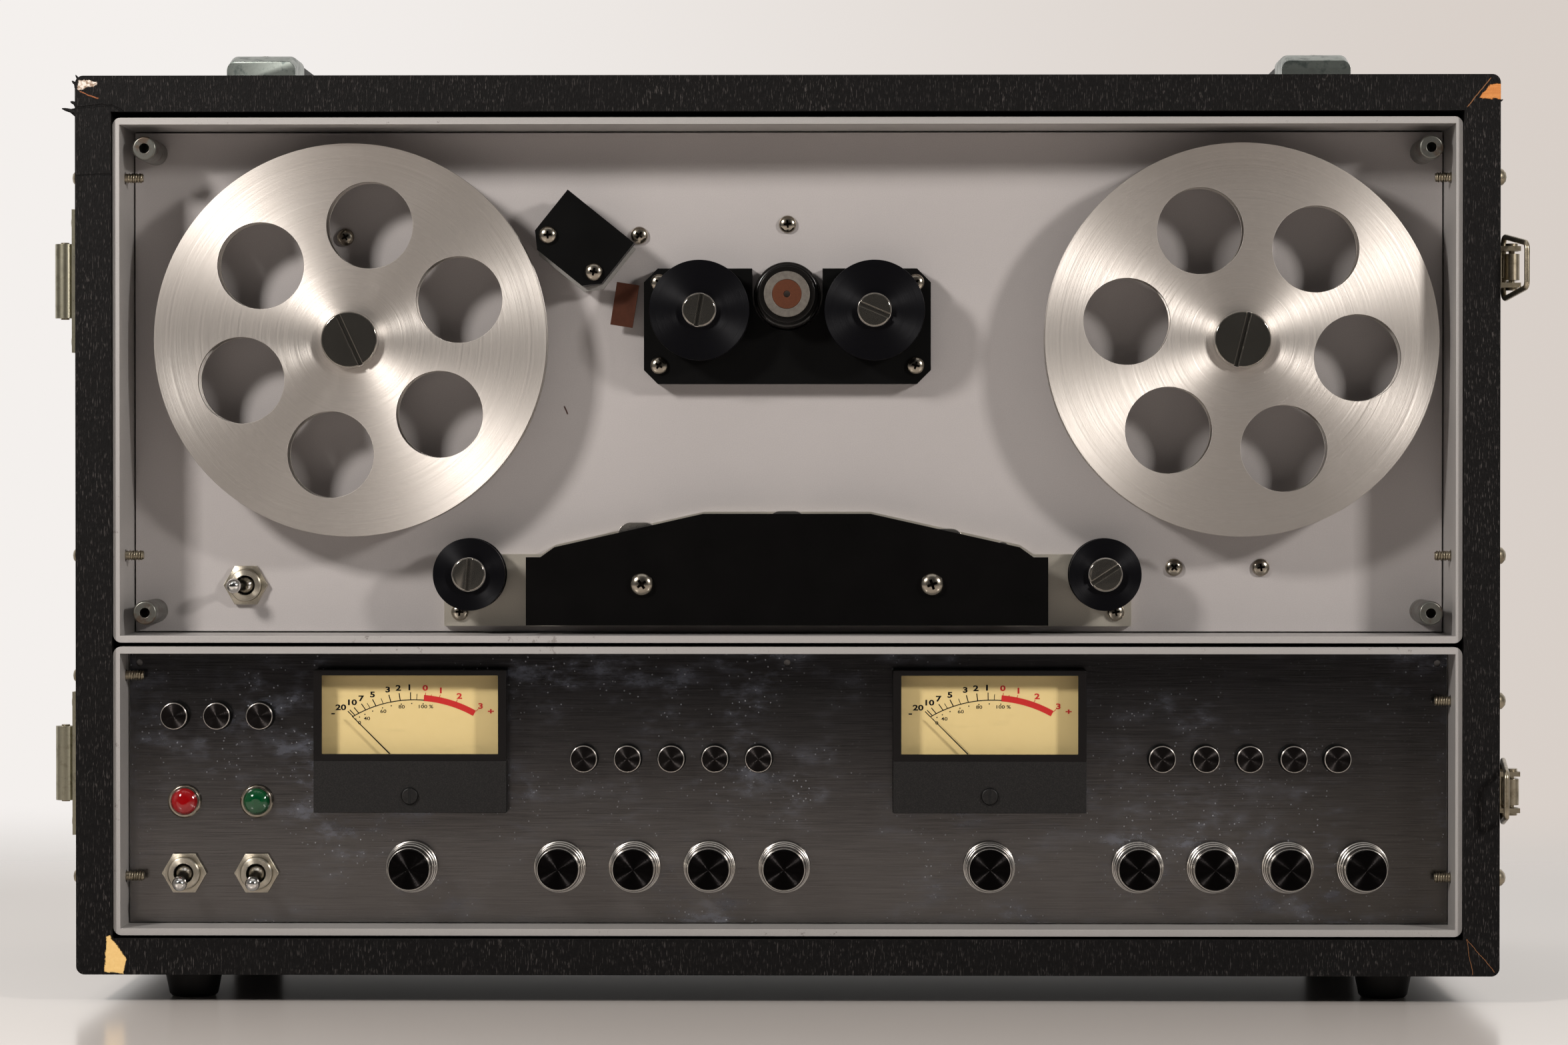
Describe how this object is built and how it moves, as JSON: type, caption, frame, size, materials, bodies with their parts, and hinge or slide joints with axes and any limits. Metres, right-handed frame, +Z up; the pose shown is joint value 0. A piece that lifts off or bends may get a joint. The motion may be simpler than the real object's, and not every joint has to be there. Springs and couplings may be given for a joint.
{
  "type": "tape echo unit",
  "caption": "Tape delay unit in a covered carry case: perforated reels, capstan and guide rollers on an upper deck, with needle meters, knobs and push-buttons on a panel below.",
  "frame": {"origin": "centre of the outer box at the soles of the feet", "axes": "+X to the right seen from the controls, -Y out of the control side, +Z up"},
  "size_m": [0.5226, 0.2506, 0.3422],
  "materials": {
    "covered_plywood": "black grained vinyl over plywood",
    "grey_paint": "silver-grey satin paint",
    "dark_metal": "dark brushed and lacquered",
    "black_paint": "satin black",
    "black_anodised": "black anodised, turned",
    "turned_aluminium": "turned",
    "bright_metal": "polished plate",
    "plain_steel": "plated",
    "strap_plastic": "flexible black strap",
    "foot_rubber": "moulded",
    "button_plastic": "black",
    "meter_plastic": "black with a cream dial",
    "lamp_plastic": "coloured lens in a bright bezel",
    "board_material": "circuit board and parts"
  },
  "bodies": {
    "case": {"case_shell": "covered_plywood", "rear_panel": "black_paint", "rubber_feet": "foot_rubber", "handle_straps": "strap_plastic", "case_hardware": "bright_metal", "transport_tray": "grey_paint", "electronics_tray": "grey_paint", "deck_plate": "grey_paint", "control_panel": "dark_metal", "drive_motor": "dark_metal", "roller_base_block": "black_anodised", "head_base_plate": "black_paint", "head_cover_plate": "black_paint", "tape_heads": "plain_steel", "angled_guide_block": "black_paint", "posts_and_spindles": "bright_metal", "machine_screws": "plain_steel", "control_bushings": "bright_metal", "panel_lamps": "lamp_plastic", "meter_cases": "meter_plastic", "electronics_board": "board_material"},
    "left_reel": {"left_reel": "turned_aluminium"},
    "right_reel": {"right_reel": "turned_aluminium"},
    "left_flanged_roller": {"left_flanged_roller": "black_anodised"},
    "right_flanged_roller": {"right_flanged_roller": "black_anodised"},
    "left_guide_roller": {"left_guide_roller": "black_anodised"},
    "right_guide_roller": {"right_guide_roller": "black_anodised"},
    "capstan_roller": {"capstan_roller": "turned_aluminium"},
    "deck_toggle_lever": {"deck_toggle_lever": "bright_metal"},
    "left_toggle_lever": {"left_toggle_lever": "bright_metal"},
    "right_toggle_lever": {"right_toggle_lever": "bright_metal"},
    "knob_1": {"knob_1": "turned_aluminium"},
    "knob_2": {"knob_2": "turned_aluminium"},
    "knob_3": {"knob_3": "turned_aluminium"},
    "knob_4": {"knob_4": "turned_aluminium"},
    "knob_5": {"knob_5": "turned_aluminium"},
    "knob_6": {"knob_6": "turned_aluminium"},
    "knob_7": {"knob_7": "turned_aluminium"},
    "knob_8": {"knob_8": "turned_aluminium"},
    "knob_9": {"knob_9": "turned_aluminium"},
    "knob_10": {"knob_10": "turned_aluminium"},
    "push_button_1": {"push_button_1": "button_plastic"},
    "push_button_2": {"push_button_2": "button_plastic"},
    "push_button_3": {"push_button_3": "button_plastic"},
    "push_button_4": {"push_button_4": "button_plastic"},
    "push_button_5": {"push_button_5": "button_plastic"},
    "push_button_6": {"push_button_6": "button_plastic"},
    "push_button_7": {"push_button_7": "button_plastic"},
    "push_button_8": {"push_button_8": "button_plastic"},
    "push_button_9": {"push_button_9": "button_plastic"},
    "push_button_10": {"push_button_10": "button_plastic"},
    "push_button_11": {"push_button_11": "button_plastic"},
    "push_button_12": {"push_button_12": "button_plastic"},
    "push_button_13": {"push_button_13": "button_plastic"},
    "left_meter_needle": {"left_meter_needle": "black_paint"},
    "right_meter_needle": {"right_meter_needle": "black_paint"},
    "upper_latch_lever": {"upper_latch_lever": "bright_metal"},
    "upper_latch_bail": {"upper_latch_bail": "bright_metal"},
    "lower_latch_lever": {"lower_latch_lever": "bright_metal"},
    "lower_latch_bail": {"lower_latch_bail": "bright_metal"}
  },
  "joints": [
    {"name": "left_reel_spin", "type": "hinge", "parent": "case", "child": "left_reel", "pos_m": [-0.15729, -0.07925, 0.2368], "axis": [0, -1, 0], "continuous": true},
    {"name": "right_reel_spin", "type": "hinge", "parent": "case", "child": "right_reel", "pos_m": [0.16212, -0.07925, 0.2368], "axis": [0, -1, 0], "continuous": true},
    {"name": "left_flanged_roller_spin", "type": "hinge", "parent": "case", "child": "left_flanged_roller", "pos_m": [-0.03209, -0.07925, 0.2475], "axis": [0, -1, 0], "continuous": true},
    {"name": "right_flanged_roller_spin", "type": "hinge", "parent": "case", "child": "right_flanged_roller", "pos_m": [0.03071, -0.07925, 0.2475], "axis": [0, -1, 0], "continuous": true},
    {"name": "left_guide_roller_spin", "type": "hinge", "parent": "case", "child": "left_guide_roller", "pos_m": [-0.11468, -0.07925, 0.1527], "axis": [0, -1, 0], "continuous": true},
    {"name": "right_guide_roller_spin", "type": "hinge", "parent": "case", "child": "right_guide_roller", "pos_m": [0.11331, -0.07925, 0.1527], "axis": [0, -1, 0], "continuous": true},
    {"name": "capstan_spin", "type": "hinge", "parent": "case", "child": "capstan_roller", "pos_m": [-0.00068, -0.07925, 0.2532], "axis": [0, -1, 0], "continuous": true},
    {"name": "deck_toggle_throw", "type": "hinge", "parent": "case", "child": "deck_toggle_lever", "pos_m": [-0.19739, -0.08025, 0.1484], "axis": [0, 0, 1], "range_deg": [0, 26]},
    {"name": "left_toggle_throw", "type": "hinge", "parent": "case", "child": "left_toggle_lever", "pos_m": [-0.21779, -0.09475, 0.045], "axis": [1, 0, 0], "range_deg": [-26, 0]},
    {"name": "right_toggle_throw", "type": "hinge", "parent": "case", "child": "right_toggle_lever", "pos_m": [-0.19168, -0.09475, 0.045], "axis": [1, 0, 0], "range_deg": [-26, 0]},
    {"name": "knob_1_turn", "type": "hinge", "parent": "case", "child": "knob_1", "pos_m": [-0.13569, -0.09375, 0.0474], "axis": [0, -1, 0], "range_deg": [-150, 150]},
    {"name": "knob_2_turn", "type": "hinge", "parent": "case", "child": "knob_2", "pos_m": [-0.08238, -0.09375, 0.0474], "axis": [0, -1, 0], "range_deg": [-150, 150]},
    {"name": "knob_3_turn", "type": "hinge", "parent": "case", "child": "knob_3", "pos_m": [-0.05548, -0.09375, 0.0474], "axis": [0, -1, 0], "range_deg": [-150, 150]},
    {"name": "knob_4_turn", "type": "hinge", "parent": "case", "child": "knob_4", "pos_m": [-0.02858, -0.09375, 0.0474], "axis": [0, -1, 0], "range_deg": [-150, 150]},
    {"name": "knob_5_turn", "type": "hinge", "parent": "case", "child": "knob_5", "pos_m": [-0.00169, -0.09375, 0.0474], "axis": [0, -1, 0], "range_deg": [-150, 150]},
    {"name": "knob_6_turn", "type": "hinge", "parent": "case", "child": "knob_6", "pos_m": [0.07192, -0.09375, 0.0474], "axis": [0, -1, 0], "range_deg": [-150, 150]},
    {"name": "knob_7_turn", "type": "hinge", "parent": "case", "child": "knob_7", "pos_m": [0.12521, -0.09375, 0.0474], "axis": [0, -1, 0], "range_deg": [-150, 150]},
    {"name": "knob_8_turn", "type": "hinge", "parent": "case", "child": "knob_8", "pos_m": [0.15212, -0.09375, 0.0474], "axis": [0, -1, 0], "range_deg": [-150, 150]},
    {"name": "knob_9_turn", "type": "hinge", "parent": "case", "child": "knob_9", "pos_m": [0.17902, -0.09375, 0.0474], "axis": [0, -1, 0], "range_deg": [-150, 150]},
    {"name": "knob_10_turn", "type": "hinge", "parent": "case", "child": "knob_10", "pos_m": [0.20591, -0.09375, 0.0474], "axis": [0, -1, 0], "range_deg": [-150, 150]},
    {"name": "push_button_1_press", "type": "slide", "parent": "case", "child": "push_button_1", "axis": [0, 1, 0], "range_m": [0, 0.0025], "stiffness_N_per_m": 200, "springref_m": -0.002},
    {"name": "push_button_2_press", "type": "slide", "parent": "case", "child": "push_button_2", "axis": [0, 1, 0], "range_m": [0, 0.0025], "stiffness_N_per_m": 200, "springref_m": -0.002},
    {"name": "push_button_3_press", "type": "slide", "parent": "case", "child": "push_button_3", "axis": [0, 1, 0], "range_m": [0, 0.0025], "stiffness_N_per_m": 200, "springref_m": -0.002},
    {"name": "push_button_4_press", "type": "slide", "parent": "case", "child": "push_button_4", "axis": [0, 1, 0], "range_m": [0, 0.0025], "stiffness_N_per_m": 200, "springref_m": -0.002},
    {"name": "push_button_5_press", "type": "slide", "parent": "case", "child": "push_button_5", "axis": [0, 1, 0], "range_m": [0, 0.0025], "stiffness_N_per_m": 200, "springref_m": -0.002},
    {"name": "push_button_6_press", "type": "slide", "parent": "case", "child": "push_button_6", "axis": [0, 1, 0], "range_m": [0, 0.0025], "stiffness_N_per_m": 200, "springref_m": -0.002},
    {"name": "push_button_7_press", "type": "slide", "parent": "case", "child": "push_button_7", "axis": [0, 1, 0], "range_m": [0, 0.0025], "stiffness_N_per_m": 200, "springref_m": -0.002},
    {"name": "push_button_8_press", "type": "slide", "parent": "case", "child": "push_button_8", "axis": [0, 1, 0], "range_m": [0, 0.0025], "stiffness_N_per_m": 200, "springref_m": -0.002},
    {"name": "push_button_9_press", "type": "slide", "parent": "case", "child": "push_button_9", "axis": [0, 1, 0], "range_m": [0, 0.0025], "stiffness_N_per_m": 200, "springref_m": -0.002},
    {"name": "push_button_10_press", "type": "slide", "parent": "case", "child": "push_button_10", "axis": [0, 1, 0], "range_m": [0, 0.0025], "stiffness_N_per_m": 200, "springref_m": -0.002},
    {"name": "push_button_11_press", "type": "slide", "parent": "case", "child": "push_button_11", "axis": [0, 1, 0], "range_m": [0, 0.0025], "stiffness_N_per_m": 200, "springref_m": -0.002},
    {"name": "push_button_12_press", "type": "slide", "parent": "case", "child": "push_button_12", "axis": [0, 1, 0], "range_m": [0, 0.0025], "stiffness_N_per_m": 200, "springref_m": -0.002},
    {"name": "push_button_13_press", "type": "slide", "parent": "case", "child": "push_button_13", "axis": [0, 1, 0], "range_m": [0, 0.0025], "stiffness_N_per_m": 200, "springref_m": -0.002},
    {"name": "left_needle_swing", "type": "hinge", "parent": "case", "child": "left_meter_needle", "pos_m": [-0.13569, -0.09375, 0.0805], "axis": [0, -1, 0], "range_deg": [-90, 0], "stiffness_Nm_per_rad": 0.00002},
    {"name": "right_needle_swing", "type": "hinge", "parent": "case", "child": "right_meter_needle", "pos_m": [0.07192, -0.09375, 0.0805], "axis": [0, -1, 0], "range_deg": [-90, 0], "stiffness_Nm_per_rad": 0.00002},
    {"name": "upper_latch_lever_swing", "type": "hinge", "parent": "case", "child": "upper_latch_lever", "pos_m": [0.25751, -0.10575, 0.2624], "axis": [0, 0, 1], "range_deg": [-140, 0]},
    {"name": "upper_latch_bail_swing", "type": "hinge", "parent": "upper_latch_lever", "child": "upper_latch_bail", "pos_m": [0.25551, -0.09935, 0.2624], "axis": [0, 0, 1], "range_deg": [0, 140]},
    {"name": "lower_latch_lever_swing", "type": "hinge", "parent": "case", "child": "lower_latch_lever", "pos_m": [0.25751, -0.10575, 0.0754], "axis": [0, 0, 1], "range_deg": [-140, 0]},
    {"name": "lower_latch_bail_swing", "type": "hinge", "parent": "lower_latch_lever", "child": "lower_latch_bail", "pos_m": [0.25551, -0.09935, 0.0754], "axis": [0, 0, 1], "range_deg": [0, 140]}
  ],
  "couplings": [
    {"joint": "upper_latch_bail_swing", "follows": "upper_latch_lever_swing", "ratio": -1},
    {"joint": "lower_latch_bail_swing", "follows": "lower_latch_lever_swing", "ratio": -1}
  ]
}
